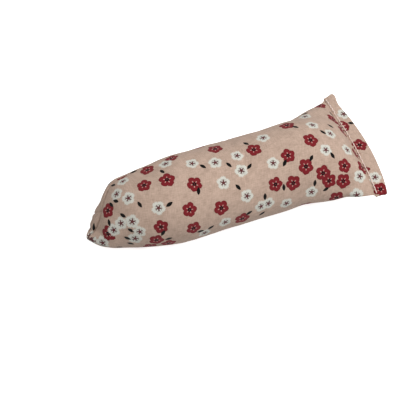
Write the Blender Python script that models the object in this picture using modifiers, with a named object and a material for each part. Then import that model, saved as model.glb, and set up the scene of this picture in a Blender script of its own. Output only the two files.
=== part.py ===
"""Eye pillow: a sewn cotton tube filled with seed, lying on its side.

The tube lies along X. Its near end (-X) is sewn shut on the inside and stands upright like a blunt
chisel. Its far end (+X) is turned in and closed by a flat topstitched hem. Metres, +Z up, origin under
the middle of the pillow on the surface that it rests on.
"""

import math

import bmesh
import bpy
from mathutils import Vector

# Driving dimensions of the sewn bag
LENGTH = 0.214            # near seam to the edge of the far hem, filled
FLAT_WIDTH = 0.098        # width of the empty bag laid flat
HEM_WIDTH = 0.010         # far hem, from its edge to the row of stitches
CLOTH = 0.0004            # thickness of the cotton
ALLOWANCE = 0.008         # cloth left inside each seam
STITCH_LENGTH = 0.0036
THREAD_RADIUS = 0.00015
CLEARANCE = 0.0003        # kept between separate pieces
LAYER_GAP = 0.00015       # kept between layers of the same cloth

# Shape of the filled bag
GIRTH = 2 * FLAT_WIDTH
BARREL_RADIUS = GIRTH / (2 * math.pi)
BARREL_SINK = 0.0036      # how far the weight flattens the underside
BARREL_HEIGHT = BARREL_RADIUS - BARREL_SINK
NEAR_X = -LENGTH / 2
EDGE_X = LENGTH / 2
STITCH_X = EDGE_X - HEM_WIDTH
NEAR_REACH = 0.050        # length over which the near end fills out
FAR_REACH = 0.060         # length over which the far end fills out
NEAR_HALF_SEAM = 0.024    # half the near seam, after its corners are rounded off
NEAR_SEAM_Y = 0.008
NEAR_SEAM_Z = 0.028
HEM_Z = 0.029
TURNED_HALF_THICKNESS = LAYER_GAP
HEM_HALF_THICKNESS = TURNED_HALF_THICKNESS + 2 * CLOTH + 2 * LAYER_GAP
HEM_NARROWING = 1.3       # how much the tucked-in layer is narrower than the hem, per layer spacing
NEAR_ALLOWANCE_TIP = NEAR_X + 0.009
FLATNESS_POWER = 1.7      # keeps the girth nearly constant as the tube flattens
EDGE_STEEPNESS = 8.0      # makes the hem's section a flat strip with round edges, not an ellipse
STEEPENING_POWER = 8      # how close to the hem the section turns into that strip
CLIPPED_CORNER = 0.003    # cut off each corner of the near allowance
NEAR_TURN_START = 0.0012  # from the near seam, where its allowances begin to turn outwards
NEAR_TURN_END = 0.0004
NEAR_HALF_BREADTH = 5 * TURNED_HALF_THICKNESS     # least that the tube keeps at the near seam
HEM_BEND_START = 0.001    # from the hem's edge, where its fold begins
FOLD_DEGREES = (60, 30, 0, -30, -60, -90)
TUCKED_SETBACK = 0.0012   # of the tucked-in layer's raw edge, outside the stitches
FLAP_START = 0.018        # of the long seam's allowances, from the near seam
FLAP_END = 0.024          # and from the hem's stitches

# Room inside the bag
FILL_INSET = CLOTH + 2 * CLEARANCE
GROOVE_DEGREES = 2.6      # half width of the groove's floor, around the tube
GROOVE_MOUTH = 4.2        # half width of its mouth
GROOVE_SHARE = 0.4        # its depth in the flat far end, as a share of the height
FILL_START = 0.002        # from the tip of the near allowance
FILL_END = 0.010          # from the hem's stitches

# Rows of stitches
STITCH_RISE = 0.00015
THREAD_SETBACK = 0.0012   # closing thread, outside the line where the hem starts
SEAM_THREAD_DEPTH = 0.0014
END_THREAD_DEPTH = 0.0022
CLOSING_MARGIN = 0.003        # from each row's ends to the ends of its seam
END_SEAM_MARGIN = 0.005
LONG_SEAM_START = 0.026       # from the near seam

# Mesh density; rows are distances from the near seam, X places, and distances from the hem's stitches
NEAR_ROWS = (0.0, 0.0006, 0.002, 0.0045, 0.008, 0.013, 0.020, 0.029, 0.039, NEAR_REACH)
MIDDLE_ROWS = (-0.028, 0.0, STITCH_X - FAR_REACH)
FAR_ROWS = (0.048, 0.037, 0.027, 0.018, 0.011, 0.005, 0.0015)
COLUMNS = 36
DIRECTION_STEP = 0.5          # degrees either side, over which an outline's direction is taken
LONG_SEAM_DEGREES = 220.0     # around the tube: 0 front, 90 top, 180 back, 270 underside
SLIT_HALF_WIDTH = 2 * LAYER_GAP

COLLECTION_NAME = "eye_pillow"


def clear_scene():
    for item in list(bpy.data.objects):
        bpy.data.objects.remove(item, do_unlink=True)


def make_material(name, colour, roughness):
    material = bpy.data.materials.new(name)
    material.use_nodes = True
    shader = material.node_tree.nodes["Principled BSDF"]
    shader.inputs["Base Color"].default_value = (*colour, 1.0)
    shader.inputs["Roughness"].default_value = roughness
    shader.inputs["Metallic"].default_value = 0.0
    return material


def dome(distance, reach):
    """0 at the seam, 1 past reach, rising steeply at first like a quarter ellipse."""
    share = min(1.0, max(0.0, distance / reach))
    return math.sqrt(1.0 - (1.0 - share) ** 2)


def wedge(distance, reach):
    """0 at the stitches, 1 past reach, opening at a steady angle like a pillow's edge."""
    share = min(1.0, max(0.0, distance / reach))
    return math.sin(share * math.pi / 2)


def section(x):
    """The bag's outer outline at x: half breadth (Y), half height (Z), centre (Y, Z) and steepness.

    Steepness is 1 for an ellipse, and larger for a flat strip with rounded edges.
    """
    if x < 0:
        fill = dome(x - NEAR_X, NEAR_REACH)
        breadth = max(BARREL_RADIUS * fill, TURNED_HALF_THICKNESS)
        height = NEAR_HALF_SEAM + (BARREL_RADIUS - NEAR_HALF_SEAM) * fill
        middle_y = NEAR_SEAM_Y * (1.0 - fill)
        middle_z = NEAR_SEAM_Z + (BARREL_HEIGHT - NEAR_SEAM_Z) * fill
        return breadth, height, middle_y, middle_z, 1.0
    fill = wedge(STITCH_X - x, FAR_REACH)
    height = max(BARREL_RADIUS * fill, HEM_HALF_THICKNESS)
    flat_half = FLAT_WIDTH / 2
    breadth = flat_half - (flat_half - BARREL_RADIUS) * fill ** FLATNESS_POWER
    middle_z = HEM_Z + (BARREL_HEIGHT - HEM_Z) * fill
    steepness = 1.0 + (EDGE_STEEPNESS - 1.0) * (1.0 - fill) ** STEEPENING_POWER
    return breadth, height, 0.0, middle_z, steepness


def outline_point(x, degrees, shape, inset=0.0):
    """A point of a section's outline, drawn in by inset and flattened where it meets the floor."""
    breadth, height, middle_y, middle_z, steepness = shape
    angle = math.radians(degrees)
    rise = max(-1.0, min(1.0, math.sin(angle) * steepness))
    y = middle_y - (breadth - inset) * math.cos(angle)
    z = middle_z + (height - inset) * rise
    return Vector((x, y, max(z, inset)))


def outline_direction(x, degrees, shape):
    """Unit direction along a section's outline, the way that the angle grows."""
    ahead = outline_point(x, degrees + DIRECTION_STEP, shape)
    behind = outline_point(x, degrees - DIRECTION_STEP, shape)
    return (ahead - behind).normalized()


def inward_direction(x, degrees, shape):
    """Unit direction square to the outline, into the bag."""
    along = outline_direction(x, degrees, shape)
    return Vector((0.0, along.z, -along.y))


def column_angles():
    """Angles around the tube, from one side of the long seam to the other."""
    step = 360.0 / COLUMNS
    return [LONG_SEAM_DEGREES + step * index for index in range(COLUMNS + 1)]


def cover_rows():
    """Rows of the cover's right side, from the near allowance, along the tube, into the far hem."""
    rows = []
    allowance_half = NEAR_HALF_SEAM - CLIPPED_CORNER
    tight = (TURNED_HALF_THICKNESS, allowance_half, NEAR_SEAM_Y, NEAR_SEAM_Z, 1.0)
    for x in (NEAR_ALLOWANCE_TIP, NEAR_X + ALLOWANCE / 2, NEAR_X + NEAR_TURN_START):
        rows.append((x, tight))
    turn_half = NEAR_HALF_SEAM - CLIPPED_CORNER / 2
    turned = (2 * TURNED_HALF_THICKNESS, turn_half, NEAR_SEAM_Y, NEAR_SEAM_Z, 1.0)
    rows.append((NEAR_X + NEAR_TURN_END, turned))
    for distance in NEAR_ROWS:
        x = NEAR_X + distance
        breadth, *others = section(x)
        rows.append((x, (max(breadth, NEAR_HALF_BREADTH), *others)))
    rows += [(x, section(x)) for x in MIDDLE_ROWS]
    rows += [(STITCH_X - distance, section(STITCH_X - distance)) for distance in FAR_ROWS]
    return rows + hem_rows()


def hem_rows():
    """The flat hem, its folded edge and the layer tucked back inside it."""
    flat_half = FLAT_WIDTH / 2
    flat = (flat_half, HEM_HALF_THICKNESS, 0.0, HEM_Z, EDGE_STEEPNESS)
    rows = [(STITCH_X, flat), (EDGE_X - HEM_BEND_START, flat)]
    fold_middle = (HEM_HALF_THICKNESS + TURNED_HALF_THICKNESS) / 2
    fold_radius = (HEM_HALF_THICKNESS - TURNED_HALF_THICKNESS) / 2
    for turn_degrees in FOLD_DEGREES:
        angle = math.radians(turn_degrees)
        x = EDGE_X - fold_radius * (1.0 - math.cos(angle))
        half = fold_middle + fold_radius * math.sin(angle)
        narrowed = flat_half - HEM_NARROWING * (HEM_HALF_THICKNESS - half)
        rows.append((x, (narrowed, half, 0.0, HEM_Z, EDGE_STEEPNESS)))
    tucked_half = flat_half - HEM_NARROWING * 2 * fold_radius
    tucked = (tucked_half, TURNED_HALF_THICKNESS, 0.0, HEM_Z, EDGE_STEEPNESS)
    rows.append((STITCH_X + TUCKED_SETBACK, tucked))
    return rows


def add_mesh(name, mesh_builder, material, collection):
    builder = bmesh.new()
    mesh_builder(builder)
    mesh = bpy.data.meshes.new(name)
    builder.to_mesh(mesh)
    builder.free()
    item = bpy.data.objects.new(name, mesh)
    mesh.materials.append(material)
    collection.objects.link(item)
    return item


def build_cover(builder):
    """The cloth's right side: a tube open along the long seam, with two allowance flaps inside it."""
    angles = column_angles()
    rows = []
    for x, shape in cover_rows():
        row = []
        for index, degrees in enumerate(angles):
            point = outline_point(x, degrees, shape)
            if index in (0, COLUMNS):
                side = 1.0 if index == 0 else -1.0
                point += outline_direction(x, degrees, shape) * SLIT_HALF_WIDTH * side
            row.append(builder.verts.new(point))
        rows.append(row)
    for lower, upper in zip(rows, rows[1:]):
        for left, right in zip(range(COLUMNS), range(1, COLUMNS + 1)):
            builder.faces.new((lower[left], upper[left], upper[right], lower[right]))
    add_seam_flaps(builder, rows)


def barrel_span(rows):
    """Rows between which the long seam keeps its allowances; they are clipped away at both ends."""
    first = next(index for index, row in enumerate(rows) if row[0].co.x > NEAR_X + FLAP_START)
    last = max(index for index, row in enumerate(rows) if 0 < row[0].co.x < STITCH_X - FLAP_END)
    return first, last


def add_seam_flaps(builder, rows):
    first, last = barrel_span(rows)
    for column in (0, COLUMNS):
        tips = {}
        for index in range(first + 1, last):
            root = rows[index][column].co
            inward = inward_direction(root.x, LONG_SEAM_DEGREES, section(root.x))
            tips[index] = builder.verts.new(root + inward * ALLOWANCE)
        for index in range(first, last):
            near_root, far_root = rows[index][column], rows[index + 1][column]
            near_tip = tips.get(index, near_root)
            far_tip = tips.get(index + 1, far_root)
            corners = [near_tip, far_tip, far_root, near_root]
            corners = [c for place, c in enumerate(corners) if c is not corners[place - 1]]
            if column == COLUMNS:
                corners.reverse()
            builder.faces.new(corners)


def long_seam_at(x):
    """The long seam's root and its inward direction at x, straight between the cover's own rows."""
    stations = sorted(place for place, _ in cover_rows() if NEAR_X < place < STITCH_X)
    before = max(place for place in stations if place <= x)
    after = min(place for place in stations if place > x)
    ends = []
    for place in (before, after):
        shape = section(place)
        root = outline_point(place, LONG_SEAM_DEGREES, shape)
        ends.append((root, inward_direction(place, LONG_SEAM_DEGREES, shape)))
    share = (x - before) / (after - before)
    return ends[0][0].lerp(ends[1][0], share), ends[0][1].lerp(ends[1][1], share).normalized()


def build_fill(builder):
    """The seed, one solid with a groove that leaves room for the long seam's allowances."""
    columns = [(LONG_SEAM_DEGREES - GROOVE_MOUTH, False), (LONG_SEAM_DEGREES - GROOVE_DEGREES, True)]
    columns += [(LONG_SEAM_DEGREES + GROOVE_DEGREES, True), (LONG_SEAM_DEGREES + GROOVE_MOUTH, False)]
    columns += [(degrees, False) for degrees in column_angles()[1:-1]]
    stations = [NEAR_ALLOWANCE_TIP + FILL_START]
    stations += [x for x, _ in cover_rows() if stations[0] < x < STITCH_X - FILL_END]
    rows = []
    for x in stations:
        shape = section(x)
        depth = min(ALLOWANCE + 2 * CLEARANCE, shape[1] * GROOVE_SHARE)
        inward = inward_direction(x, LONG_SEAM_DEGREES, shape)
        row = []
        for degrees, in_groove in columns:
            point = outline_point(x, degrees, shape, FILL_INSET)
            if in_groove:
                point += inward * depth
            row.append(builder.verts.new(point))
        rows.append(row)
    for lower, upper in zip(rows, rows[1:]):
        for left in range(len(columns)):
            right = (left + 1) % len(columns)
            builder.faces.new((lower[left], upper[left], upper[right], lower[right]))
    builder.faces.new(rows[0])
    builder.faces.new(list(reversed(rows[-1])))


def stitched_route(start, end, place):
    """Points along a row of stitches: the thread rises between the holes that it goes down in."""
    count = max(2, round((end - start) / STITCH_LENGTH)) * 2
    route = []
    for index in range(count + 1):
        along = start + (end - start) * index / count
        route.append(place(along, STITCH_RISE if index % 2 else 0.0))
    return route


def thread_route_closing(side):
    def place(y, rise):
        z = HEM_Z + side * (HEM_HALF_THICKNESS + CLEARANCE + THREAD_RADIUS + rise)
        return Vector((STITCH_X + THREAD_SETBACK, y, z))
    reach = FLAT_WIDTH / 2 - CLOSING_MARGIN
    return stitched_route(-reach, reach, place)


def thread_route_long(side):
    def place(x, rise):
        root, inward = long_seam_at(x)
        across = Vector((0.0, -inward.z, inward.y))
        lift = SLIT_HALF_WIDTH + CLOTH + CLEARANCE + THREAD_RADIUS + rise
        return root + inward * SEAM_THREAD_DEPTH + across * side * lift
    return stitched_route(NEAR_X + LONG_SEAM_START, STITCH_X - FLAP_END, place)


def thread_route_end(side):
    def place(z, rise):
        lift = TURNED_HALF_THICKNESS + CLOTH + CLEARANCE + THREAD_RADIUS + rise
        return Vector((NEAR_X + END_THREAD_DEPTH, NEAR_SEAM_Y + side * lift, z))
    reach = NEAR_HALF_SEAM - END_SEAM_MARGIN
    return stitched_route(NEAR_SEAM_Z - reach, NEAR_SEAM_Z + reach, place)


def add_thread(name, route, material, collection):
    curve = bpy.data.curves.new(name, "CURVE")
    curve.dimensions = "3D"
    curve.bevel_depth = THREAD_RADIUS
    curve.bevel_resolution = 2
    curve.use_fill_caps = True
    spline = curve.splines.new("POLY")
    spline.points.add(len(route) - 1)
    for point, place in zip(spline.points, route):
        point.co = (*place, 1.0)
    curve.materials.append(material)
    item = bpy.data.objects.new(name, curve)
    collection.objects.link(item)
    return item


def main():
    clear_scene()
    collection = bpy.data.collections.new(COLLECTION_NAME)
    bpy.context.scene.collection.children.link(collection)
    cotton = make_material("printed_cotton", (0.53, 0.34, 0.27), 0.85)
    seed = make_material("seed", (0.17, 0.09, 0.04), 0.5)
    thread = make_material("sewing_thread", (0.78, 0.62, 0.56), 0.6)

    cover = add_mesh("cover_cloth", build_cover, cotton, collection)
    thickness = cover.modifiers.new("cloth_thickness", "SOLIDIFY")
    thickness.thickness = CLOTH
    thickness.offset = -1.0
    pieces = [cover, add_mesh("seed_fill", build_fill, seed, collection)]

    seams = (
        ("closing", thread_route_closing),
        ("long_seam", thread_route_long),
        ("end_seam", thread_route_end),
    )
    for seam, route in seams:
        for part, side in (("needle", 1.0), ("bobbin", -1.0)):
            pieces.append(add_thread(f"{seam}_{part}_thread", route(side), thread, collection))

    frame = bpy.data.objects.new("pillow_frame", None)
    collection.objects.link(frame)
    for piece in pieces:
        piece.parent = frame
    for piece in pieces[:2]:
        piece.data.shade_smooth()


main()
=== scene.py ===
"""Looks of a seed-filled eye pillow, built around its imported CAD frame.

The cover is a cotton tube blown up by cloth simulation over its seeds, then given its seams, hem,
puckers and print. Threads and seeds are rebuilt to lie in the simulated cover. Metres, +Z up.
"""

import math
import random

import bpy
import numpy as np
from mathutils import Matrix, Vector, noise


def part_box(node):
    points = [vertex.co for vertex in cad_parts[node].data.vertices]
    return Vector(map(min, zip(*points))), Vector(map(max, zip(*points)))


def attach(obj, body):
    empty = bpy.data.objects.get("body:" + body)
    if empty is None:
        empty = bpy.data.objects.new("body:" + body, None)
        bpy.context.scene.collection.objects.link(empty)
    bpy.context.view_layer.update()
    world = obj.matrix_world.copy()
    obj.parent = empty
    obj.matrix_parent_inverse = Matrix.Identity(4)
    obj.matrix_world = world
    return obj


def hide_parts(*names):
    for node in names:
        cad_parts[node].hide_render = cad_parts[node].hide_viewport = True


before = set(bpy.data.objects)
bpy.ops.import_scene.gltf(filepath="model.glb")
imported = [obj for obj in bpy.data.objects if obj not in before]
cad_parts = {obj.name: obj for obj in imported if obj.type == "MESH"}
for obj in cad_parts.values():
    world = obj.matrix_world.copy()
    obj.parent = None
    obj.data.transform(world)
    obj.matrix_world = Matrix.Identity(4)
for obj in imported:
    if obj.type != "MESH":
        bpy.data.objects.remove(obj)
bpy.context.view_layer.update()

COVER_LOW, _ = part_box("cover_cloth")
NEAR_X = COVER_LOW.x
MM = 0.001

# The empty bag, in metres
HEM_WIDTH = 0.010
BODY_WIDTH = 0.096          # laid flat, less what the seams take up
BODY_LENGTH = 0.2055        # near seam to the hem's stitches, along the cloth
FILLED_LENGTH = 0.2047      # the same over the filled bag
GIRTH = 2 * BODY_WIDTH
LOWER_CORNER = 0.022        # radius of the near seam's lower corner
UPPER_CORNER = 0.030
LONG_SEAM_DEGREES = 220.0   # around the tube: 0 front, 90 top, 180 back, 270 underside
MEASURED_FROM = 45.0        # the line from which the print's places around are measured
STITCH = 0.0036
THREAD_RADIUS = 0.0004
THREAD_SIDES = 8
SEAM_STITCH = 0.0025        # of the two seams sewn on the inside
SEAM_DEPTH = 0.0022         # of those seams below the skin
THREAD_STEP = 0.0002        # between a thread's points
SEED_DEPTH = 0.0022         # of the seeds' face below the skin
SEED_ROUGHNESS = 0.0003

# Where the seams lie once the bag is filled: distance from the near end, Y and height
NEAR_SEAM = (
    (-0.0020, 0.0055, 0.0135),
    (0.0045, 0.0020, 0.0200),
    (0.0085, 0.0010, 0.0250),
    (0.0100, 0.0030, 0.0340),
    (0.0120, 0.0080, 0.0390),
    (0.0165, 0.0140, 0.0430),
    (0.0245, 0.0200, 0.0450),
    (0.0385, 0.0260, 0.0450),
)
HEM_STITCHES = (
    (0.1995, -0.0476, 0.0262),
    (0.2005, -0.0380, 0.0270),
    (0.2010, -0.0200, 0.0295),
    (0.2020, 0.0000, 0.0310),
    (0.2025, 0.0250, 0.0330),
    (0.2035, 0.0467, 0.0332),
)
HEM_EDGE = (
    (0.2090, -0.0500, 0.0220),
    (0.2110, -0.0380, 0.0260),
    (0.2125, -0.0200, 0.0280),
    (0.2130, 0.0000, 0.0295),
    (0.2120, 0.0250, 0.0320),
    (0.2105, 0.0380, 0.0340),
    (0.2125, 0.0490, 0.0375),
)

# Cloth simulation
COLUMNS = 96
ROWS = 96
HEM_ROWS = 4
HALF = COLUMNS // 2
CORNER_COLUMN = 80          # where the near seam's lower corner lies: low down in front
HELD_CORNER = 4             # seam points that hold the lower corner in place
SCALE = 10.0                # the solver behaves best on a bag a few metres long
SIMULATED_GAP = 0.0005 * SCALE      # between cloth and floor
FRAMES = 30
START_RADIUS = 0.031
START_HEIGHT = 0.030
START_GAP = 0.0105          # from the near end to where the starting tube begins
START_LENGTH = 0.189
OPENING_SHARE = 0.28        # of the length, over which the starting tube opens to full round

# Under its own weight the filled bag loses this share of its height
SINK = 0.05
SINK_END = 0.1795           # from the near end
SINK_FADE = 0.040           # the distance before that over which it fades out

# Where the seeds push the cloth after that: a middle (distance from the near end, Y, height), the
# reach around it and the push at the middle
PUSHES = (
    ((0.1765, -0.042, 0.018), (0.034, 0.026, 0.026), (0, -0.004, -0.007)),      # front, by the hem
    ((0.1840, 0.040, 0.036), (0.028, 0.024, 0.026), (0, 0.0025, 0.005)),        # back, by the hem
    ((0.0105, 0.008, 0.040), (0.022, 0.030, 0.020), (0.0025, 0, 0)),            # blunt end's brow
    ((0.0065, 0.008, 0.010), (0.034, 0.044, 0.034), (-0.007, 0, 0)),            # blunt end's foot
    ((0.0075, 0.010, 0.016), (0.020, 0.020, 0.016), (-0.006, 0, 0)),
    ((-0.0015, -0.004, 0.008), (0.016, 0.018, 0.014), (0.0020, -0.001, 0)),     # its lower corner
    ((0.0080, -0.014, 0.006), (0.018, 0.018, 0.014), (-0.0015, -0.0025, 0)),
    ((0.0425, 0.018, 0.050), (0.034, 0.034, 0.030), (0, -0.001, -0.004)),       # its shoulder
    ((0.1930, -0.045, 0.022), (0.015, 0.015, 0.015), (0, -0.003, -0.003)),      # hem's front corner
    ((0.2120, 0.004, 0.032), (0.014, 0.056, 0.040), (0.0023, 0, 0)),            # hem's edge
)

# Fine surface
EASED_ROWS = 9              # simulated rows from the blunt end that are rounded off
EASE_PASSES = 4
EASE_SHARE = 0.8
FINER = 3                   # fine columns and rows for each simulated one
HEM_STEPS = 16
HEM_HALF_THICKNESS = 0.0014
STITCHED_HALF_THICKNESS = 0.0005
HEM_FOLD = 0.0016           # width of the hem's rounded edge
HEM_CORNERS = (0.0028, 0.0050)      # radius of the front and back corner
HEM_SWELL = 0.0012          # distance over which the hem swells from its stitches
PINCH = 0.0015              # distance over which the tube's two layers close at the stitches
FLOOR_GAP = 0.0003
STITCH_ROW = 2              # fine hem rows out from the crease, where the closing stitches are


# -------------------- curves and grids

def smooth_line(points, count):
    """Evenly spaced points on a Catmull-Rom curve through the given ones."""
    points = np.array(points, float)
    padded = np.vstack([2 * points[0] - points[1], points, 2 * points[-1] - points[-2]])
    share = np.linspace(0, 1, 20, endpoint=False)[:, None]
    spans = [cubic(*padded[at:at + 4], share) for at in range(len(points) - 1)]
    return resample(np.vstack(spans + [points[-1:]]), count)[0]


def resample(line, count):
    """The line again as evenly spaced points, and their distances along it."""
    along = np.r_[0, np.cumsum(np.linalg.norm(np.diff(line, axis=0), axis=1))]
    wanted = np.linspace(0, along[-1], count)
    return np.stack([np.interp(wanted, along, line[:, axis]) for axis in range(3)], 1), wanted


def evenly(line, step):
    """The line again as points about that step apart, and their distances along it."""
    length = np.linalg.norm(np.diff(line, axis=0), axis=1).sum()
    return resample(line, max(2, round(length / step)) + 1)


def cubic(before, start, end, after, share):
    """Catmull-Rom between start and end."""
    return 0.5 * (
        2 * start
        + (end - before) * share
        + (2 * before - 5 * start + 4 * end - after) * share ** 2
        + (3 * start - before - 3 * end + after) * share ** 3
    )


def refine(grid, around):
    """FINER times as many points along the first axis, which closes on itself if around."""
    if around:
        padded = np.concatenate([grid[-1:], grid, grid[:2]])
    else:
        padded = np.concatenate([2 * grid[:1] - grid[1:2], grid, 2 * grid[-1:] - grid[-2:-1]])
    neighbours = padded[:-3], padded[1:-2], padded[2:-1], padded[3:]
    steps = [cubic(*neighbours, step / FINER) for step in range(FINER)]
    fine = np.stack(steps, 1).reshape(-1, *grid.shape[1:])
    return fine if around else np.concatenate([fine, grid[-1:]])


def unit(vectors):
    return vectors / np.maximum(np.linalg.norm(vectors, axis=-1, keepdims=True), 1e-12)


def from_near_end(points):
    return [(NEAR_X + x, y, z) for x, y, z in points]


def cell(row, column):
    """The four grid points around a cell."""
    return (row, column), (row + 1, column), (row + 1, column + 1), (row, column + 1)


def mirror_column(column, columns, corner):
    """Steps along the near seam from its lower corner, the same for the two sides sewn together."""
    steps = (column - corner) % columns
    return np.minimum(steps, columns - steps)


def near_cut(steps, columns):
    """How far the near seam is cut back from a straight end, to round its corners."""
    half = columns // 2
    side = np.where(steps < half - steps, LOWER_CORNER, UPPER_CORNER)
    distance = np.minimum(np.minimum(steps, half - steps) / half * BODY_WIDTH, side)
    return side - np.sqrt(side ** 2 - (side - distance) ** 2)


# -------------------- meshes and objects

def add_object(name, data):
    item = bpy.data.objects.new(name, data)
    bpy.context.scene.collection.objects.link(item)
    return item


def add_ground(name, reach):
    """A square on the ground, that far from the origin each way."""
    corners = [(-reach, -reach, 0), (reach, -reach, 0), (reach, reach, 0), (-reach, reach, 0)]
    mesh = bpy.data.meshes.new(name)
    mesh.from_pydata(corners, [], [(0, 1, 2, 3)])
    return add_object(name, mesh)


def smooth_mesh(name, points, faces):
    mesh = bpy.data.meshes.new(name)
    mesh.from_pydata(np.array(points).tolist(), [], faces)
    mesh.shade_smooth()
    return mesh


# -------------------- the bag before filling

def opening(distance):
    """0 at a flat seam, 1 where the starting tube is round."""
    return math.sin(min(1.0, distance / (OPENING_SHARE * BODY_LENGTH)) * math.pi / 2)


class Bag:
    """The cloth tube as a grid, zipped shut at both ends, with a single-layer hem."""

    def __init__(self):
        self.index, self.cut, self.start = {}, [], []
        self.seam = smooth_line(from_near_end(NEAR_SEAM), HALF + 1)
        self.stitches = smooth_line(from_near_end(HEM_STITCHES), HALF + 1)
        self.edge = smooth_line(from_near_end(HEM_EDGE), HALF + 1)
        self.add_tube()
        self.add_hem()
        self.faces = self.tube_faces() + self.hem_faces()

    def add(self, key, cut, start):
        self.index[key] = len(self.cut)
        self.cut.append(cut)
        self.start.append(start)

    def add_tube(self):
        for row in range(ROWS + 1):
            for column in range(COLUMNS):
                if (row, column) != self.key(row, column):
                    continue
                steps = mirror_column(column, COLUMNS, CORNER_COLUMN)
                cut_back = float(near_cut(steps, COLUMNS))
                along = cut_back + (BODY_LENGTH - cut_back) * row / ROWS
                angle = 2 * math.pi * column / COLUMNS
                flat_radius = GIRTH / (2 * math.pi)
                cut = (along, flat_radius * math.cos(angle), flat_radius * math.sin(angle))
                self.add((row, column), cut, self.start_point(along, angle, steps, column))

    def start_point(self, along, angle, steps, column):
        """A tube, flat at the near seam at one end and at the hem's stitches at the other."""
        near_open, far_open = opening(along), opening(BODY_LENGTH - along)
        seam, stitches = self.seam[steps], self.stitches[min(column, COLUMNS - column)]
        round_point = np.array([
            NEAR_X + START_GAP + START_LENGTH * along / BODY_LENGTH,
            -START_RADIUS * math.cos(angle),
            START_HEIGHT + START_RADIUS * math.sin(angle),
        ])
        tube = round_point * near_open * far_open
        return tube + seam * (1 - near_open) + stitches * (1 - far_open)

    def add_hem(self):
        for step in range(1, HEM_ROWS + 1):
            share = step / HEM_ROWS
            for column in range(HALF + 1):
                cut = (BODY_LENGTH + HEM_WIDTH * share, 1.0 + BODY_WIDTH * column / HALF, 0.0)
                start = self.stitches[column] * (1 - share) + self.edge[column] * share
                self.add(("hem", step, column), cut, start)

    def key(self, row, column):
        """The grid point that stands for this one: both ends are zipped shut."""
        column %= COLUMNS
        if row == 0:
            column = (CORNER_COLUMN + mirror_column(column, COLUMNS, CORNER_COLUMN)) % COLUMNS
        if row == ROWS:
            column = min(column, COLUMNS - column)
        return row, int(column)

    def tube_faces(self):
        faces = []
        for row in range(ROWS):
            for column in range(COLUMNS):
                corners = [self.index[self.key(*corner)] for corner in cell(row, column)]
                faces.append(list(dict.fromkeys(corners)))
        return [face for face in faces if len(face) > 2]

    def hem_faces(self):
        def at(step, column):
            return self.index[("hem", step, column)] if step else self.index[(ROWS, column)]

        return [
            [at(*corner) for corner in cell(step, column)]
            for step in range(HEM_ROWS)
            for column in range(HALF)
        ]

    def held(self):
        """Points that the sewing machine fixed: the hem, and the near seam's lower corner."""
        hem = [at for key, at in self.index.items() if key[0] in ("hem", ROWS)]
        corner = [
            at for key, at in self.index.items()
            if key[0] == 0 and mirror_column(key[1], COLUMNS, CORNER_COLUMN) < HELD_CORNER
        ]
        return hem + corner


# -------------------- filling it

def fill_bag(bag):
    """Blows the bag up over its seeds on the floor, and returns its points as an array."""
    cloth = cloth_object(bag)
    floor = simulation_floor()
    scene = bpy.context.scene
    scene.frame_start, scene.frame_end = 1, FRAMES
    cloth.modifiers["filling"].point_cache.frame_end = FRAMES
    for number in range(1, FRAMES + 1):
        scene.frame_set(number)
    evaluated = cloth.evaluated_get(bpy.context.evaluated_depsgraph_get())
    points = np.array([vertex.co[:] for vertex in evaluated.data.vertices]) / SCALE
    for item in (cloth, floor):
        bpy.data.objects.remove(item)
    scene.frame_set(1)
    return points


def cloth_object(bag):
    mesh = bpy.data.meshes.new("cut_cloth")
    mesh.from_pydata((np.array(bag.start) * SCALE).tolist(), [], bag.faces)
    cloth = add_object("cut_cloth", mesh)
    cloth.shape_key_add(name="Basis")
    unstretched = cloth.shape_key_add(name="unstretched")
    for point, place in zip(unstretched.data, np.array(bag.cut) * SCALE):
        point.co = place
    unstretched.value = 0.0
    held = cloth.vertex_groups.new(name="held")
    held.add(bag.held(), 1.0, "REPLACE")
    filled = cloth.vertex_groups.new(name="filled")
    filled.add([at for key, at in bag.index.items() if key[0] != "hem"], 1.0, "REPLACE")
    filling = cloth.modifiers.new("filling", "CLOTH")
    filling.collision_settings.distance_min = SIMULATED_GAP
    filling.collision_settings.use_self_collision = False
    set_cloth(filling.settings)
    filling.settings.rest_shape_key = unstretched
    return cloth


def set_cloth(settings):
    """Light cotton under the pressure of loose seeds."""
    settings.quality = 8
    settings.mass = 0.15
    settings.air_damping = 1.0
    settings.bending_model = "ANGULAR"
    settings.tension_stiffness = settings.compression_stiffness = 40.0
    settings.shear_stiffness = 12.0
    settings.bending_stiffness = 0.3
    settings.vertex_group_mass = "held"
    settings.vertex_group_pressure = "filled"
    settings.use_pressure = True
    settings.uniform_pressure_force = 6.0
    settings.fluid_density = 5.0            # seeds press harder low down
    settings.effector_weights.gravity = 0.1


def simulation_floor():
    floor = add_ground("simulation_floor", SCALE)
    floor.modifiers.new("collision", "COLLISION")
    floor.collision.thickness_outer = SIMULATED_GAP
    floor.collision.cloth_friction = 20.0
    return floor


# -------------------- settling

def pushed(points, middle, reach, push):
    """The points around middle moved by push, fading out smoothly at the reach."""
    away = (points - (np.array(middle) + (NEAR_X, 0, 0))) / reach
    weight = np.clip(1 - np.sum(away ** 2, axis=-1), 0, 1) ** 2
    return points + weight[..., None] * np.array(push)


def settle(points):
    """The seed's weight spreads the bag, fills its low corners and rounds its blunt end."""
    points = points.copy()
    body = np.clip((NEAR_X + SINK_END - points[..., 0]) / SINK_FADE, 0, 1)
    points[..., 2] *= 1 - SINK * body
    for middle, reach, push in PUSHES:
        points = pushed(points, middle, reach, push)
    return points


# -------------------- the fine surface

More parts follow.
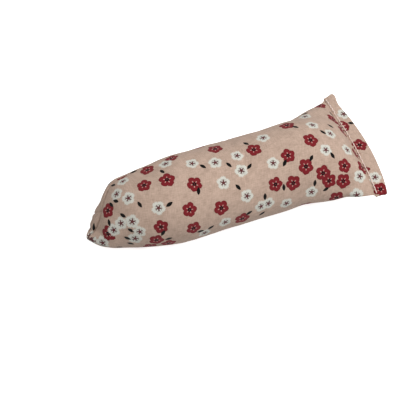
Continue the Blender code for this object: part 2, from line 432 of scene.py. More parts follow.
def ease(tube):
    """Rounds the blunt end, which packed seeds hold out more than the simulated pressure does."""
    partner = (2 * CORNER_COLUMN - np.arange(COLUMNS)) % COLUMNS
    weight = np.clip(1 - np.arange(ROWS + 1) / EASED_ROWS, 0, 1)[:, None, None] * EASE_SHARE
    for _ in range(EASE_PASSES):
        before = np.concatenate([tube[1:2][:, partner], tube[:-1]])
        after = np.concatenate([tube[1:], tube[-1:]])
        beside = (np.roll(tube, 1, axis=1) + np.roll(tube, -1, axis=1)) / 2
        tube = tube + weight * ((before + after) / 2 * 0.6 + beside * 0.4 - tube)
    return tube


def hem_half_thickness(from_stitches):
    """Thin at the stitches, full beside them, and rounded to nothing at the edge."""
    swell = 1 - math.exp(-from_stitches / HEM_SWELL)
    half = STITCHED_HALF_THICKNESS + (HEM_HALF_THICKNESS - STITCHED_HALF_THICKNESS) * swell
    from_edge = HEM_WIDTH - from_stitches
    return half * math.sqrt(1 - (1 - min(1.0, from_edge / HEM_FOLD)) ** 2)


class Surface:
    """The cover's skin as one fine grid of rows by columns, with its place on the flat cloth."""

    def __init__(self, bag, filled):
        tube = ease(np.array([
            [filled[bag.index[bag.key(row, column)]] for column in range(COLUMNS)]
            for row in range(ROWS + 1)
        ]))
        tube, filled = settle(tube), settle(filled)
        self.columns = COLUMNS * FINER
        self.half = self.columns // 2
        self.corner = CORNER_COLUMN * FINER
        self.long_seam = round(self.columns * LONG_SEAM_DEGREES / 360)
        tube = refine(refine(tube.transpose(1, 0, 2), True).transpose(1, 0, 2), False)
        self.tube_rows = len(tube)
        hem = np.array([
            smooth_line([filled[bag.index[("hem", step, column)]] for column in range(HALF + 1)],
                        self.half + 1)
            for step in range(1, HEM_ROWS + 1)
        ])
        self.cloth = self.cloth_places()
        hem = np.concatenate([[tube[-1][:self.half + 1]], hem])
        self.points = np.concatenate([self.pinch(tube, hem), self.thick_hem(hem)])

    def cloth_places(self):
        """Each point's distance around from the long seam and along from the near end."""
        column = np.arange(self.columns)
        around = (column / self.columns - LONG_SEAM_DEGREES / 360.0) % 1.0 * GIRTH
        steps = mirror_column(column, self.columns, self.corner)
        cut = near_cut(steps, self.columns)
        share = np.linspace(0, 1, self.tube_rows)[:, None]
        along = cut + (BODY_LENGTH - cut) * share
        hem = BODY_LENGTH + HEM_WIDTH * np.arange(1, HEM_STEPS + 1)[:, None] / HEM_STEPS
        along = np.concatenate([along, np.repeat(hem, self.columns, axis=1)])
        return np.stack([np.broadcast_to(around, along.shape), along], -1)

    def measure(self):
        """Each point's place on the cloth by distances over the skin, from the long seam on."""
        order = (self.long_seam + np.arange(self.columns + 1)) % self.columns
        points = self.points[:, order]
        zero = np.zeros((len(points), 1))
        steps = np.linalg.norm(np.diff(points, axis=1), axis=2)
        around = np.cumsum(np.hstack([zero, steps]), axis=1)
        middle = round(self.columns * (MEASURED_FROM - LONG_SEAM_DEGREES) / 360) % self.columns
        around += middle / self.columns * GIRTH - around[:, middle:middle + 1]
        steps = np.linalg.norm(np.diff(points, axis=0), axis=2)
        along = np.cumsum(np.vstack([zero[:1].repeat(len(order), 1), steps]), axis=0)
        along += FILLED_LENGTH - along[self.tube_rows - 1]
        return np.stack([around, along], -1)

    def sides(self):
        """+1 on the hem's upper layer, -1 on its lower one, rounded to 0 at its two side folds."""
        column = np.arange(self.columns)
        folded = np.minimum(column, self.columns - column)
        from_fold = np.minimum(folded, self.half - folded) / self.half * BODY_WIDTH
        rounding = np.sqrt(1 - (1 - np.minimum(1, from_fold / HEM_FOLD)) ** 2)
        return np.where(column < self.half, 1.0, -1.0) * rounding, folded, from_fold

    def hem_up(self, lines):
        """Square to the hem, beside each column."""
        _, folded, _ = self.sides()
        return unit(np.cross(lines[-1] - lines[0], np.gradient(lines[0], axis=0)))[folded]

    def pinch(self, tube, hem):
        """Keeps the tube's two layers apart where they come together at the stitches."""
        side, _, _ = self.sides()
        from_stitches = BODY_LENGTH - self.cloth[:self.tube_rows, :, 1]
        apart = STITCHED_HALF_THICKNESS * np.exp(-from_stitches / PINCH)
        return tube + (apart * side)[..., None] * self.hem_up(hem)

    def thick_hem(self, lines):
        """The hem's two layers, from beside the stitches to the edge, given its middle lines."""
        side, folded, from_fold = self.sides()
        up = self.hem_up(lines)
        cut = self.hem_cut(folded, from_fold)
        rows = []
        for step in range(1, HEM_STEPS + 1):
            place = step / HEM_STEPS * (1 - cut / HEM_WIDTH) * (len(lines) - 1)
            lower = np.minimum(place.astype(int), len(lines) - 2)
            part = (place - lower)[:, None]
            middle = lines[lower, folded] * (1 - part) + lines[lower + 1, folded] * part
            half = hem_half_thickness(HEM_WIDTH * step / HEM_STEPS)
            rows.append(middle + (half * side)[:, None] * up)
        return np.array(rows)

    def hem_cut(self, folded, from_fold):
        """How far the hem's edge is cut back, to round its two corners."""
        corner = np.where(folded < self.half // 2, *HEM_CORNERS)
        shorter = corner - np.minimum(from_fold, corner)
        return corner - np.sqrt(corner ** 2 - shorter ** 2)

    def normals(self):
        around = np.roll(self.points, -1, axis=1) - np.roll(self.points, 1, axis=1)
        along = np.gradient(self.points, axis=0)
        out = np.cross(along, around)
        column = np.arange(self.columns)
        for row, partner in ((0, 2 * self.corner - column), (-1, -column)):     # sewn together
            out[row] = out[row] + out[row][partner % self.columns]
        return unit(out)

    def raise_by(self, heights):
        """Moves each point out along the skin's normal, and flattens what the floor is under."""
        self.points = self.points + heights[..., None] * self.normals()
        self.points[..., 2] = np.maximum(self.points[..., 2], FLOOR_GAP)

    def key(self, row, column):
        column %= self.columns
        if row == 0:
            column = min(column, (2 * self.corner - column) % self.columns)
        if row == len(self.points) - 1:
            column = min(column, self.columns - column)
        return row, column

    def mesh(self, name):
        """The skin as one closed mesh, each corner of a face knowing its place on the cloth."""
        index, vertices, measured = {}, [], self.measure()
        for row in range(len(self.points)):
            for column in range(self.columns):
                if self.key(row, column) == (row, column):
                    index[row, column] = len(vertices)
                    vertices.append(self.points[row, column])
        faces, places = [], []
        for row in range(len(self.points) - 1):
            for column in range(self.columns):
                past = (column - self.long_seam) % self.columns
                face = {
                    index[self.key(*corner)]: measured[place]
                    for corner, place in zip(cell(row, column), cell(row, past))
                }
                if len(face) > 2:
                    faces.append(list(face))
                    places.extend(face.values())
        return smooth_mesh(name, vertices, faces), np.array(places)


def fine_noise(points, size, seed):
    """Smooth noise between about -1 and 1, with features of that size."""
    flat = points.reshape(-1, 3) / size + seed
    values = [noise.noise(Vector(point)) for point in flat]
    return np.array(values).reshape(points.shape[:-1])


def seam_distances(surface):
    """Distance over the cloth from the near seam, the long seam and the hem's stitches."""
    along = surface.cloth[..., 1]
    near = along - surface.cloth[0, :, 1]
    around = surface.cloth[..., 0]
    long_seam = np.minimum(around, GIRTH - around)
    return near, long_seam, along - BODY_LENGTH


def puckers(along_seam, pitch, seed):
    """Uneven waves along a seam."""
    drift = np.array([noise.noise(Vector((at / (4 * pitch), seed, 0.0))) for at in along_seam])
    height = np.array([noise.noise(Vector((at / (2 * pitch), seed, 7.0))) for at in along_seam])
    return np.cos(2 * math.pi * along_seam / pitch + 5.0 * drift) * (0.7 + 0.9 * height)


def near_puckers(surface):
    """The near seam's waves, different on its two sides."""
    columns = np.arange(surface.columns)
    steps = mirror_column(columns, surface.columns, surface.corner)
    along_seam = steps / surface.half * BODY_WIDTH
    front = (columns - surface.corner) % surface.columns < surface.half
    return np.where(front, puckers(along_seam, 0.0075, 3.0), puckers(along_seam, 0.0085, 9.0))


def groove(distance, depth, width):
    return -depth * np.exp(-distance / width)


def gathers(distance, height, furthest):
    """Nothing at the seam, highest at that distance from it, then fading out."""
    return height * distance / furthest * np.exp(1 - distance / furthest)


def sew(surface):
    """Presses the seams in, and gathers the cloth beside them."""
    near, long_seam, hem = seam_distances(surface)
    in_tube, from_hem = hem < 0, np.abs(hem)
    long_waves = puckers(surface.cloth[:, 0, 1], 0.0075, 5.0)[:, None]
    hem_waves = puckers(surface.cloth[0, :, 0], STITCH, 1.0)
    heights = groove(near, 0.0026, 0.0008)
    heights += gathers(near, 0.00014, 0.002) * near_puckers(surface)
    heights += in_tube * groove(long_seam, 0.0009, 0.0009)
    heights += in_tube * gathers(long_seam, 0.00035, 0.003) * long_waves
    ridge = -np.where(in_tube, groove(from_hem, 0.00042, 0.0035), groove(from_hem, 0.0013, 0.0020))
    heights += ridge * hem_waves * np.clip(from_hem / 0.0008, 0, 1)
    surface.raise_by(heights)


def dent(surface):
    """Seeds lie unevenly under the cloth, and the cloth is never quite smooth."""
    broad = fine_noise(surface.points, 0.022, 4.0)
    fine = fine_noise(surface.points, 0.006, 11.0)
    near, _, hem = seam_distances(surface)
    body = np.clip(near / 0.006, 0, 1) * np.clip(-hem / 0.006, 0, 1)
    surface.raise_by(body * (0.0006 * broad + 0.00012 * fine))


# -------------------- the print

RED, WHITE, LEAF = 1, 2, 3
REACH = {RED: 0.0070, WHITE: 0.0070, LEAF: 0.0042}      # from a motif's middle past its outline
GAP = {RED: 0.0118, WHITE: 0.0118, LEAF: 0.0075}        # between scattered motifs' middles
SIZES = (0.94, 1.05)        # smallest and largest, as shares of the usual size
CODE_SPREAD = 0.35          # a motif's code is its kind and up to this, which varies its outline
FACING = 0.3                # how nearly a face has to face the way a motif does to be printed on
SCATTER_DRAWS = 900
PRINT_LAYERS = 3            # motifs that may overlap on one face

# Places on the flat cloth in millimetres, around from the long seam and along from the blunt end,
# and how far each is turned
RED_BLOSSOMS = (
    (137, 151.5, 10), (115, 159.5, 30), (121, 117.2, 62), (107.7, 140.2, 5), (96.5, 153.2, 48),
    (89.2, 166.6, 20), (82.9, 170.5, 55), (81.7, 181.1, 38), (93.1, 183.4, 12), (91, 129.8, 26),
    (87.8, 143.5, 60), (68, 176, 33), (135, 93.8, 50), (147, 64, 18), (133.2, 43.6, 40),
    (116.7, 50.2, 8), (115.7, 34, 66), (107.9, 68.8, 56), (91.6, 64.6, 24), (86.1, 88.1, 44),
    (70.3, 104.4, 15), (76.4, 66.8, 35), (83.3, 44, 64), (71.5, 41, 28), (62, 36, 52),
    (63.5, 49.5, 4), (143, 197.5, 45), (129.5, 198, 22), (139, 203.5, 60), (120.3, 210.7, 31),
    (95.5, 201, 12), (108.5, 200.5, 58), (78, 210, 41), (77.5, 217.3, 7), (163, 196, 26),
    (92.5, 4, 36), (77, 6.5, 50), (127, 25.5, 20),
)
WHITE_BLOSSOMS = (
    (130, 167.8, 5), (120, 178, 30), (130.3, 128.7, 52), (106, 128.4, 20), (105.7, 169.7, 44),
    (106.8, 189, 63), (76.3, 157.2, 12), (89.2, 107.9, 35), (107.6, 104.3, 58), (120, 103.8, 26),
    (119.6, 87, 8), (125.2, 71.6, 40), (135.3, 56.4, 66), (102.9, 90.1, 15), (97.2, 42.6, 33),
    (72.4, 91.2, 50), (66.5, 76.2, 22), (81, 29.3, 61), (88.8, 24.3, 10), (105.4, 21.2, 46),
    (107, 11.3, 28), (118.7, 22, 3), (86.9, 15.7, 54), (81, 10.5, 37), (75, 26, 18),
    (67.5, 2.5, 48), (77.7, 118.2, 64), (78.2, 123.9, 25), (72.8, 138, 42), (86.2, 194.6, 13),
    (71.5, 190, 56), (88.5, 210, 32), (152, 175.5, 6), (152, 212.5, 51),
)
LEAVES = (
    (131, 154.5, 141), (129.5, 183.5, 140), (121.2, 172, 138), (129.8, 115.2, 153),
    (109, 110.6, 56), (103.5, 137.1, 46), (101.4, 157.6, 41), (101, 174.3, 156), (76.7, 168, 61),
    (83, 159.8, 10), (87, 136, 4), (84.6, 121.3, 8), (114.5, 96, 156), (119.6, 77.6, 146),
    (126, 49.8, 150), (133.5, 36.3, 81), (102.3, 71.4, 20), (97, 101.1, 150), (100.7, 29.2, 143),
    (98.6, 50, 64), (74.8, 108.4, 61), (71.6, 80.2, 61), (70.8, 71.8, 96), (78, 45.2, 31),
    (71, 49.6, 81), (69.7, 119.6, 56), (151, 201.5, 136), (142, 213.8, 106), (69.5, 201.5, 101),
    (111.2, 7.5, 61), (101.5, 10.5, 86), (97.6, 6.3, 106), (92.6, 17.3, 112), (82.2, 23, 121),
    (75.3, 20.3, 118), (69, 23, 116), (63, 14, 106), (63.5, 4, 136), (85, 6.3, 146),
    (157, 179, 106),
)
# From and to around, from and to along: the cloth whose motifs are all listed
SEEN_CLOTH = ((60.0, 158.0, -6.0, 200.0), (66.0, 172.0, 190.0, 218.0))


def is_listed(place):
    around, along = place / MM
    return any(
        left < around < right and near < along < far for left, right, near, far in SEEN_CLOTH
    )


class Print:
    """Gives each face the local coordinates, in millimetres, of the motifs that cover it."""

    def __init__(self, mesh, places):
        self.mesh, self.places = mesh, places
        sizes = np.array([len(polygon.vertices) for polygon in mesh.polygons])
        starts = np.r_[0, np.cumsum(sizes)[:-1]]
        self.middles = np.add.reduceat(places, starts, axis=0) / sizes[:, None]
        self.owner = np.repeat(np.arange(len(sizes)), sizes)
        points = np.array([vertex.co for vertex in mesh.vertices])
        self.corners = points[[at for polygon in mesh.polygons for at in polygon.vertices]]
        self.centres = np.array([polygon.center for polygon in mesh.polygons])
        self.normals = np.array([polygon.normal for polygon in mesh.polygons])
        self.used = np.zeros(len(sizes), int)
        self.layers = np.zeros((PRINT_LAYERS, len(places), 3))
        self.spots = []
        self.generator = random.Random(5)

    def stamp(self, kind, turn, covered, local):
        """A motif on the covered faces, local being each face corner's place from its middle."""
        covered &= self.used < PRINT_LAYERS
        chosen = np.nonzero(covered[self.owner])[0]
        angle = math.radians(turn)
        local = local[chosen] / (MM * self.generator.uniform(*SIZES))
        turned = np.stack([
            local[:, 0] * math.cos(angle) + local[:, 1] * math.sin(angle),
            local[:, 1] * math.cos(angle) - local[:, 0] * math.sin(angle),
        ], 1)
        code = kind + self.generator.uniform(-CODE_SPREAD, CODE_SPREAD)
        layer = self.used[self.owner[chosen]]
        self.layers[layer, chosen] = np.c_[turned, np.full(len(chosen), code)]
        self.used[covered] += 1

    def place(self, kind, around, along, turn):
        """A motif at a place on the flat cloth."""
        offsets = self.places - np.array([around, along]) * MM
        face = self.owner[np.linalg.norm(offsets, axis=1).argmin()]
        mine = np.nonzero(self.owner == face)[0]
        from_face = offsets[mine].mean(0)
        spread = self.corners[mine] - self.centres[face]
        slopes = np.linalg.lstsq(offsets[mine] - from_face, spread)[0]
        centre = self.centres[face] - from_face @ slopes
        self.lay(kind, centre, self.normals[face], slopes[1], turn)

    def scatter(self, kind, face, turn):
        """A motif on the skin around a face, unless others are too close."""
        centre = self.centres[face]
        if np.linalg.norm(np.array(self.spots) - centre, axis=1).min() >= GAP[kind]:
            self.lay(kind, centre, self.normals[face], np.array((1.0, 0.2, 0.1)), turn)

    def lay(self, kind, centre, out, along, turn):
        """A motif printed flat against the skin, its upright turned from the direction along."""
        self.spots.append(centre)
        across = unit(np.cross(out, along))
        upright = np.cross(across, out)
        covered = np.linalg.norm(self.centres - centre, axis=1) < REACH[kind]
        covered &= self.normals @ out > FACING
        self.stamp(kind, turn, covered, (self.corners - centre) @ np.stack([across, upright], 1))

    def write(self):
        for number, layer in enumerate(self.layers):
            write_corners(self.mesh, f"print_{number}", layer)


def print_motifs(mesh, places):
    """The motifs listed, and the same kind of scatter over the rest of the cloth."""
    cloth_print = Print(mesh, places)
    for kind, group in ((RED, RED_BLOSSOMS), (WHITE, WHITE_BLOSSOMS), (LEAF, LEAVES)):
        for around, along, turn in group:
            cloth_print.place(kind, around, along, turn)
    generator = random.Random(12)
    for draw in range(SCATTER_DRAWS):
        kind = (RED, WHITE, RED, WHITE, LEAF)[draw % 5]
        face, turn = generator.randrange(len(mesh.polygons)), generator.uniform(0, 360)
        if not is_listed(cloth_print.middles[face]):
            cloth_print.scatter(kind, face, turn)
    cloth_print.write()


def write_corners(mesh, name, values):
    attribute = mesh.attributes.new(name, "FLOAT_VECTOR", "CORNER")
    attribute.data.foreach_set("vector", np.ascontiguousarray(values, np.float32).ravel())


# -------------------- materials

def linear(red, green, blue):
    """A colour given as it looks on a screen, 0 to 255, as the shader needs it."""
    def channel(value):
        value /= 255
        return value / 12.92 if value <= 0.04045 else ((value + 0.055) / 1.055) ** 2.4

    return channel(red), channel(green), channel(blue), 1.0


class Shader:
    """A node material whose patterns are written as formulas."""

    def __init__(self, name, roughness, **settings):
        self.material = bpy.data.materials.new(name)
        self.material.use_nodes = True
        self.tree = self.material.node_tree
        self.principled = self.tree.nodes["Principled BSDF"]
        self.principled.inputs["Roughness"].default_value = roughness
        for socket, value in settings.items():
            self.principled.inputs[socket.replace("_", " ")].default_value = value

    def node(self, kind, inputs=(), **properties):
        node = self.tree.nodes.new(kind)
        for name, value in properties.items():
            setattr(node, name, value)
        for socket, value in dict(inputs).items():
            self.feed(node.inputs[socket], value)
        return node

    def feed(self, socket, value):
        if isinstance(value, bpy.types.NodeSocket):
            self.tree.links.new(value, socket)
        else:
            socket.default_value = value

    def math(self, operation, *values):
        return self.node("ShaderNodeMath", enumerate(values), operation=operation).outputs[0]

    def times(self, first, second):
        return self.math("MULTIPLY", first, second)

    def plus(self, first, second):
        return self.math("ADD", first, second)

    def minus(self, first, second):
        return self.math("SUBTRACT", first, second)

    def times_plus(self, first, factor, addend):
        return self.math("MULTIPLY_ADD", first, factor, addend)

    def ramp(self, value, low, high):
        """0 where value is at low, 1 where it is at high, smooth between."""
        inputs = {"Value": value, "From Min": low, "From Max": high}
        node = self.node("ShaderNodeMapRange", inputs, interpolation_type="SMOOTHSTEP")
        return node.outputs["Result"]

    def mix(self, share, first, second):
        node = self.node("ShaderNodeMix", {0: share, 6: first, 7: second}, data_type="RGBA")
        return node.outputs[2]

    def noise(self, vector, scale, detail=2.0):
        inputs = {"Vector": vector, "Scale": scale, "Detail": detail}
        return self.node("ShaderNodeTexNoise", inputs).outputs["Fac"]

    def attribute(self, name):
        return self.node("ShaderNodeAttribute", attribute_name=name).outputs["Vector"]

    def scaled(self, vector, factors):
        node = self.node("ShaderNodeVectorMath", {0: vector, 1: factors}, operation="MULTIPLY")
        return node.outputs[0]

    def split(self, vector):
        return self.node("ShaderNodeSeparateXYZ", {0: vector}).outputs

    def bump(self, height, strength, distance):
        inputs = {"Height": height, "Strength": strength, "Distance": distance}
        bump = self.node("ShaderNodeBump", inputs)
        self.tree.links.new(bump.outputs["Normal"], self.principled.inputs["Normal"])


PINK_SHADE = linear(168, 144, 128)
PINK = linear(198, 172, 155)
CRIMSON = linear(120, 29, 35)
CRIMSON_RIM = linear(106, 24, 30)
PALE_STROKE = linear(214, 172, 160)
BLOSSOM_WHITE = linear(208, 208, 198)
BLOSSOM_HEART = linear(84, 26, 36)
LEAF_BLACK = linear(9, 7, 6)
LEAF_HALF_LENGTH = 2.85     # millimetres, as all lengths in the print's formulas
LEAF_HALF_WIDTH = 1.32
WEAVE = 2 * math.pi * 1.8   # radians a millimetre, for 3.6 threads


def five_arms(shader, angle):
    """1 along each of five arms, 0 half way between them."""
    return shader.math("ABSOLUTE", shader.math("COSINE", shader.times(angle, 2.5)))


def petals(shader, arms, power, length, middle, uneven):
    """How far the petals reach: to middle between the arms, and by length more along them."""
    outline = shader.times_plus(shader.math("POWER", arms, power), length, middle)
    return shader.plus(outline, uneven)


def of_kind(shader, code, kind):
    away = shader.math("ABSOLUTE", shader.minus(code, float(kind)))
    return shader.math("LESS_THAN", away, CODE_SPREAD + 0.1)


def red_blossom(shader, polar, colour):
    """Pale strokes along its petals and a black eye with a crimson middle."""
    radius, angle, wobble, code = polar
    arms = five_arms(shader, angle)
    inside = shader.minus(petals(shader, arms, 0.55, 1.55, 4.0, wobble), radius)
    petal = shader.mix(shader.ramp(inside, 0.1, 0.8), CRIMSON_RIM, CRIMSON)
    strokes = shader.times(shader.ramp(arms, 0.88, 0.99), shader.ramp(radius, 2.9, 2.2))
    petal = shader.mix(shader.times(strokes, 0.78), petal, PALE_STROKE)
    petal = shader.mix(shader.ramp(radius, 1.55, 1.3), petal, LEAF_BLACK)
    petal = shader.mix(shader.ramp(radius, 0.55, 0.3), petal, CRIMSON)
    mask = shader.times(shader.ramp(inside, -0.12, 0.18), of_kind(shader, code, RED))
    return shader.mix(mask, colour, petal)


def white_blossom(shader, polar, colour):
    """A frayed outline, a dark star and a ring of black dots."""
    radius, angle, wobble, code = polar
    arms = five_arms(shader, angle)
    teeth = shader.math("SINE", shader.times(angle, 23.0))
    frayed = shader.times_plus(teeth, 0.3, wobble)
    inside = shader.minus(petals(shader, arms, 0.7, 1.15, 3.7, frayed), radius)
    star = shader.times(shader.ramp(arms, 0.45, 0.85), shader.ramp(radius, 2.8, 1.6))
    petal = shader.mix(star, BLOSSOM_WHITE, BLOSSOM_HEART)
    ring = shader.math("ABSOLUTE", shader.minus(radius, 2.4))
    dots = shader.math("COSINE", shader.times(angle, 11.0))
    dots = shader.times(shader.ramp(dots, 0.3, 0.9), shader.ramp(ring, 0.42, 0.12))
    petal = shader.mix(shader.times(dots, 0.85), petal, LEAF_BLACK)
    petal = shader.mix(shader.ramp(radius, 1.35, 0.9), petal, BLOSSOM_HEART)
    mask = shader.times(shader.ramp(inside, -0.35, 0.45), of_kind(shader, code, WHITE))
    return shader.mix(shader.times(mask, 0.93), colour, petal)


def leaf(shader, across, along, code, colour):
    """An almond, pointed at both ends."""
    share = shader.math("DIVIDE", across, LEAF_HALF_LENGTH)
    width = shader.times_plus(shader.times(share, share), -1.0, 1.0)
    edge = shader.times(width, LEAF_HALF_WIDTH)
    inside = shader.minus(edge, shader.math("ABSOLUTE", along))
    mask = shader.times(shader.ramp(inside, -0.05, 0.2), of_kind(shader, code, LEAF))
    return shader.mix(mask, colour, LEAF_BLACK)


def printed_cotton():
    """Pink cotton with slubs in its weave, and the print laid over it."""
    shader = Shader(
        "printed_cotton", 0.9, Sheen_Weight=0.06, Sheen_Roughness=0.5, Specular_IOR_Level=0.15
    )
    cloth = shader.attribute("cloth")
    slub_around = shader.noise(shader.scaled(cloth, (0.22, 1.7, 1.0)), 1.0)
    slub_along = shader.noise(shader.scaled(cloth, (1.7, 0.22, 1.0)), 1.0)
    slub = shader.plus(slub_around, slub_along)
    blotch = shader.noise(cloth, 0.12, 3.0)
    shade = shader.times_plus(slub, 0.6, shader.times(blotch, 0.5))
    colour = shader.mix(shader.ramp(shade, 0.50, 1.14), PINK_SHADE, PINK)
    for number in range(PRINT_LAYERS):
        colour = print_layer(shader, shader.attribute(f"print_{number}"), colour)
    worn = shader.times_plus(slub, 0.12, 0.88)
    tint = shader.node("ShaderNodeVectorMath", {0: colour, "Scale": worn}, operation="SCALE")
    shader.feed(shader.principled.inputs["Base Color"], tint.outputs[0])
    shader.bump(weave_height(shader, cloth, slub), 0.45, 0.0002)
    return shader.material


def print_layer(shader, local, colour):
    """The motif whose place and code are local, over the colour under it."""
    across, along, code = shader.split(local)
    squares = shader.times(across, across), shader.times(along, along)
    radius = shader.math("SQRT", shader.plus(*squares))
    angle = shader.math("ARCTAN2", along, across)
    wobble = shader.times_plus(shader.noise(local, 0.55), 1.3, -0.65)
    polar = (radius, angle, wobble, code)
    colour = red_blossom(shader, polar, colour)
    colour = white_blossom(shader, polar, colour)
    return leaf(shader, across, along, code, colour)


def weave_height(shader, cloth, slub):
    """Plain weave, its threads going over and under, some thicker."""
    around, along, _ = shader.split(cloth)
    warp = shader.math("SINE", shader.times(around, WEAVE))
    weft = shader.math("SINE", shader.times(along, WEAVE))
    weave = shader.times(warp, weft)
    return shader.times_plus(weave, 0.35, shader.times(slub, 1.1))


def sewing_thread():
    """Two-ply thread: pale, with a fine twist whose grooves are painted darker as shade."""
    shader = Shader("sewing_thread", 0.6, Sheen_Weight=0.2, Sheen_Roughness=0.4)
    place = shader.node("ShaderNodeTexCoord").outputs["Object"]
    twist = shader.node("ShaderNodeTexWave", {"Vector": place, "Scale": 900.0, "Distortion": 1.0})
    twist.bands_direction = "DIAGONAL"
    # Darker where the twist's bump is low: painted shade in the grooves between the plies
    colour = shader.mix(twist.outputs["Fac"], linear(222, 196, 183), linear(248, 232, 222))
    shader.feed(shader.principled.inputs["Base Color"], colour)
    shader.bump(twist.outputs["Fac"], 0.4, 0.00008)
    return shader.material


def flax_seed():
    """Small brown seeds, lying at all angles, painted darker at their edges as shade between them.
    """
    shader = Shader("flax_seed", 0.42, Coat_Weight=0.2, Coat_Roughness=0.3)
    place = shader.node("ShaderNodeTexCoord").outputs["Object"]
    cells = shader.node("ShaderNodeTexVoronoi", {"Vector": place, "Scale": 420.0})
    tone = shader.split(cells.outputs["Color"])[0]
    colour = shader.mix(tone, linear(92, 52, 26), linear(150, 98, 52))
    # Darker towards each seed's edge: painted shade in the gaps between the seeds; the same field
    # gives their bump
    shade = shader.ramp(cells.outputs["Distance"], 0.75, 0.25)
    colour = shader.mix(shade, linear(40, 22, 12), colour)
    shader.feed(shader.principled.inputs["Base Color"], colour)
    shader.bump(shade, 0.8, 0.0006)
    return shader.material


# -------------------- pieces

def add_piece(name, mesh, material, slot_name, *nodes):
    item = add_object(name, mesh)
    mesh.materials.append(material)
    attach(item, "root")
    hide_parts(*nodes)
    return item


def strand(name, path):
    """A round thread along the path, closed at both ends."""
    forward = unit(np.gradient(path, axis=0))
    side = unit(np.cross(forward, (0.0, 0.3, 1.0)))
    up = np.cross(side, forward)
    turns = 2 * math.pi * np.arange(THREAD_SIDES) / THREAD_SIDES
    rings = [path + THREAD_RADIUS * (math.cos(turn) * side + math.sin(turn) * up) for turn in turns]
    points = np.stack(rings, 1).reshape(-1, 3)
    faces = [
        [at_ring * THREAD_SIDES + at_turn % THREAD_SIDES for at_turn, at_ring in cell(turn, ring)]
        for ring in range(len(path) - 1) for turn in range(THREAD_SIDES)
    ]
    last = (len(path) - 1) * THREAD_SIDES
    faces.append(tuple(reversed(range(THREAD_SIDES))))
    faces.append(tuple(range(last, last + THREAD_SIDES)))
    return smooth_mesh(name, points, faces)


def stitch_wave(distance, pitch):
    """1 where a stitch lies on the cloth, 0 where it goes down a needle hole."""
    return np.abs(np.sin(math.pi * distance / pitch)) ** 0.7


def closing_paths(surface):
    """The needle thread on the hem's upper face and the bobbin thread under it."""
    row = surface.points[surface.tube_rows - 1 + STITCH_ROW]
    folded = np.arange(4, surface.half - 3)
    upper, lower = row[folded], row[-folded]
    out = unit(upper - lower)
    middle = (upper + lower) / 2
    half = np.linalg.norm(upper - lower, axis=1, keepdims=True) / 2
    paths = []
    for side in (1, -1):
        outer, distance = evenly(middle + side * (half + 0.7 * THREAD_RADIUS) * out, THREAD_STEP)
        inner, _ = resample(middle + side * 1.2 * THREAD_RADIUS * out, len(outer))
        paths.append(inner + stitch_wave(distance, STITCH)[:, None] * (outer - inner))
    return paths


def inside_paths(line, inward):
    """Two threads locked together a little inside the skin, one either side of the seam's fold."""
    path, distance = evenly(line + SEAM_DEPTH * inward, 1.25 * THREAD_STEP)
    across = unit(np.cross(np.gradient(path, axis=0), (0.2, 0.1, 1.0)))
    wave = stitch_wave(distance, SEAM_STITCH)[:, None]
    return [path + side * THREAD_RADIUS * (1.2 + wave) * across for side in (1, -1)]


def long_seam_paths(surface):
    rows, column = slice(12, surface.tube_rows - 9), surface.long_seam
    return inside_paths(surface.points[rows, column], -surface.normals()[rows, column])


def end_seam_paths(surface):
    columns = (surface.corner + np.arange(4, surface.half - 3)) % surface.columns
    return inside_paths(surface.points[0, columns], -surface.normals()[0, columns])


def make_threads(surface):
    thread = sewing_thread()
    seams = {"closing": closing_paths, "long_seam": long_seam_paths, "end_seam": end_seam_paths}
    for seam, paths in seams.items():
        for kind, path in zip(("needle", "bobbin"), paths(surface)):
            name = f"{seam}_{kind}_thread"
            add_piece(f"{name}_run", strand(name, path), thread, "sewing_thread", name)


def make_seeds(surface):
    """The heap of seeds, a little inside the cover, its face rough with them."""
    rings = surface.points[9:surface.tube_rows - 21:2, ::3]
    middles = rings.mean(axis=1, keepdims=True)
    reach = np.linalg.norm(rings - middles, axis=2, keepdims=True)
    rough = SEED_ROUGHNESS * fine_noise(rings, 0.0018, 2.0)[..., None]
    rings = middles + (rings - middles) * np.maximum(0.3, 1 - (SEED_DEPTH + rough) / reach)
    columns = rings.shape[1]
    points = np.vstack([rings.reshape(-1, 3), middles[0], middles[-1]])
    faces = [
        [at_row * columns + at_column % columns for at_row, at_column in cell(row, column)]
        for row in range(len(rings) - 1) for column in range(columns)
    ]
    near_middle, last = len(points) - 2, (len(rings) - 1) * columns
    for column in range(columns):
        after = (column + 1) % columns
        faces.append((near_middle, column, after))
        faces.append((near_middle + 1, last + after, last + column))
    add_piece("seeds", smooth_mesh("seeds", points, faces), flax_seed(), "seed", "seed_fill")


def make_cover(surface):
    mesh, places = surface.mesh("cover")
    write_corners(mesh, "cloth", np.c_[places / MM, np.zeros(len(places))])
    print_motifs(mesh, places)
    cover = add_piece("cover", mesh, printed_cotton(), "printed_cotton", "cover_cloth")


# -------------------- stage, light and camera

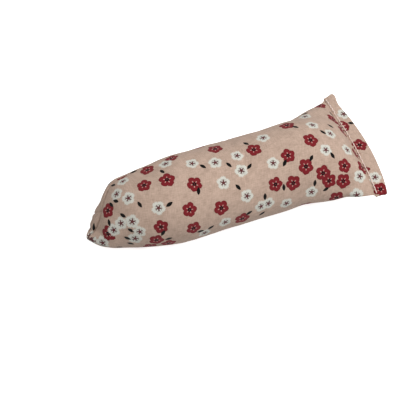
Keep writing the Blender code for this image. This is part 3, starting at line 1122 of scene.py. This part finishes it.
AZIMUTH, ELEVATION = -22.5, 46.5
LENS = 135.0
DISTANCE = 1.112
MIDDLE = Vector((NEAR_X + 0.1045, 0.0, 0.030))
AIM_LEFT = 0.0129           # of the middle, as the camera sees it
AIM_BELOW = 0.0191
LIGHTS = (                  # name, place, width and power
    ("key", (0.48, -0.60, 0.98), 0.9, 9.3),
    ("overhead", (0.20, 0.15, 1.20), 1.2, 2.7),
)
FLOOR_REACH = 3
FLOOR_GLOW = 0.75           # keeps the floor white, with a faint contact shadow
SKY_STRENGTH = 0.48


def toward_camera(azimuth, elevation):
    turn, rise = math.radians(azimuth), math.radians(elevation)
    level = Vector((math.sin(turn), -math.cos(turn), 0)) * math.cos(rise)
    return level + Vector((0, 0, math.sin(rise)))


def make_camera():
    camera = add_object("camera", bpy.data.cameras.new("camera"))
    camera.data.lens = LENS
    back = toward_camera(AZIMUTH, ELEVATION)
    right = Vector((0, 0, 1)).cross(back).normalized()
    up = back.cross(right)
    aim = MIDDLE - right * AIM_LEFT - up * AIM_BELOW
    camera.location = aim + back * DISTANCE
    camera.rotation_euler = back.to_track_quat("Z", "Y").to_euler()
    bpy.context.scene.camera = camera


def add_area_light(name, place, size, power):
    """A round soft light, turned to the pillow."""
    light = add_object(name, bpy.data.lights.new(name, "AREA"))
    light.data.shape = "DISK"
    light.data.size = size
    light.data.energy = power
    light.location = place
    light.rotation_euler = light.location.to_track_quat("Z", "Y").to_euler()


def paper():
    shader = Shader("paper", 0.9)
    grain = shader.noise(shader.node("ShaderNodeTexCoord").outputs["Object"], 300.0)
    colour = shader.mix(grain, linear(240, 240, 240), linear(246, 246, 246))
    shader.feed(shader.principled.inputs["Base Color"], colour)
    shader.feed(shader.principled.inputs["Emission Color"], (1, 1, 1, 1))
    shader.feed(shader.principled.inputs["Emission Strength"], FLOOR_GLOW)
    return shader.material


def make_studio():
    floor = add_ground("floor", FLOOR_REACH)
    floor.data.materials.append(paper())
    floor.visible_diffuse = False
    for light in LIGHTS:
        add_area_light(*light)
    world = bpy.data.worlds.new("studio")
    world.use_nodes = True
    background = world.node_tree.nodes["Background"]
    background.inputs["Color"].default_value = (1, 1, 1, 1)
    background.inputs["Strength"].default_value = SKY_STRENGTH
    bpy.context.scene.world = world
    bpy.context.scene.view_settings.view_transform = "Standard"


# -------------------- put together


make_camera()
make_studio()
empty_bag = Bag()
skin = Surface(empty_bag, fill_bag(empty_bag))
dent(skin)
sew(skin)
make_cover(skin)
make_threads(skin)
make_seeds(skin)
